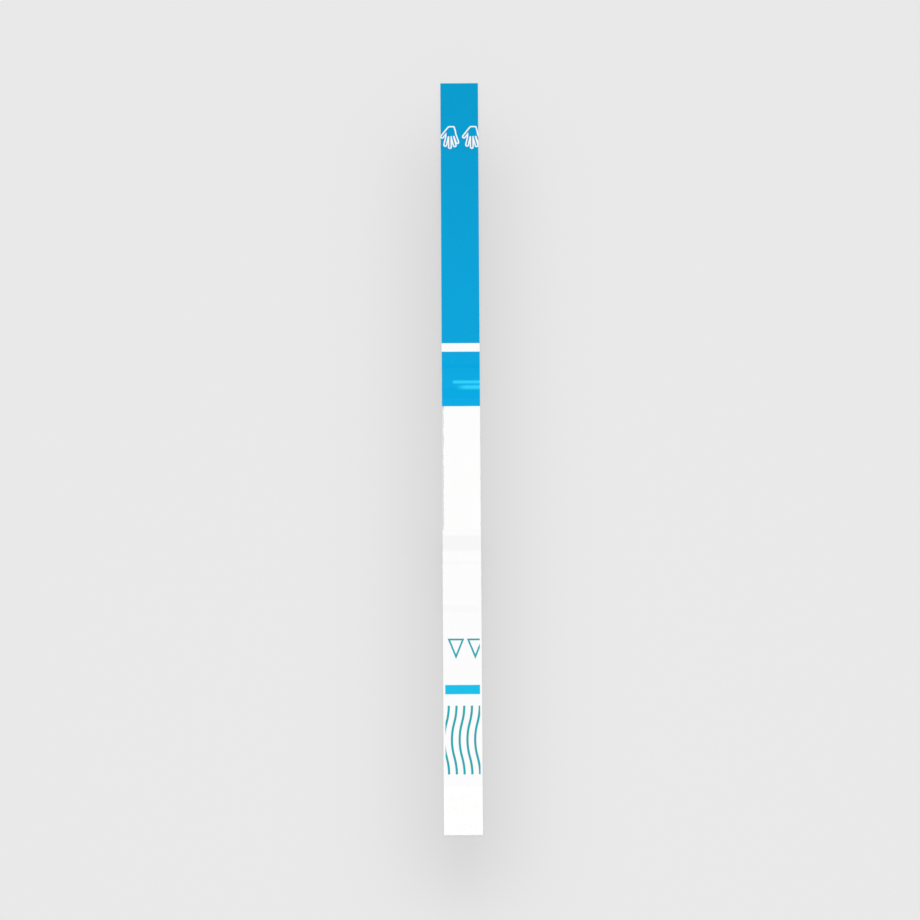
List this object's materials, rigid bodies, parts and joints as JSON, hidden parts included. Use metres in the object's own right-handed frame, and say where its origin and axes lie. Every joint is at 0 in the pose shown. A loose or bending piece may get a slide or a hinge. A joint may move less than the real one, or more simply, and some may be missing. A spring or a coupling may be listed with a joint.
{
  "type": "lateral flow test strip",
  "caption": "Bare lateral flow dip strip: pads and membrane shingled on an adhesive card, with printed cover tapes at the handle end and the dip end and a bare reading window between.",
  "frame": {"origin": "centre of the backing card's underside, which is the middle of the strip's length and width", "axes": "+Y along the strip to the handle end, -Y to the dip end, +X to the right of the printed face with the handle end up, +Z out of the printed face"},
  "size_m": [0.005, 0.1, 0.0014],
  "materials": {
    "card_plastic": "matt white calendered plastic sheet",
    "adhesive": "clear acrylic pressure-sensitive adhesive over the white card",
    "nitrocellulose": "fine matt microporous white",
    "absorbent_fibre": "thick cotton blotter, fibrous cut edges",
    "conjugate_fibre": "thin glass fibre pad with dried colloid, dusty red",
    "sample_fibre": "soft white cellulose pad, faint fibre mottle",
    "white_film": "satin white polypropylene film tape",
    "blue_ink": "satin process blue printed solid",
    "light_blue_ink": "satin light blue printed solid",
    "teal_ink": "satin teal printed line"
  },
  "bodies": {
    "root": {"backing_card": "card_plastic", "adhesive_coat": "adhesive", "nitrocellulose_membrane": "nitrocellulose", "absorbent_pad": "absorbent_fibre", "conjugate_pad": "conjugate_fibre", "sample_pad": "sample_fibre", "handle_tape": "white_film", "dip_tape": "white_film", "handle_print_upper": "blue_ink", "handle_print_lower": "blue_ink", "arrow_print": "teal_ink", "fill_line_print": "light_blue_ink", "wave_print": "teal_ink"}
  },
  "joints": []
}
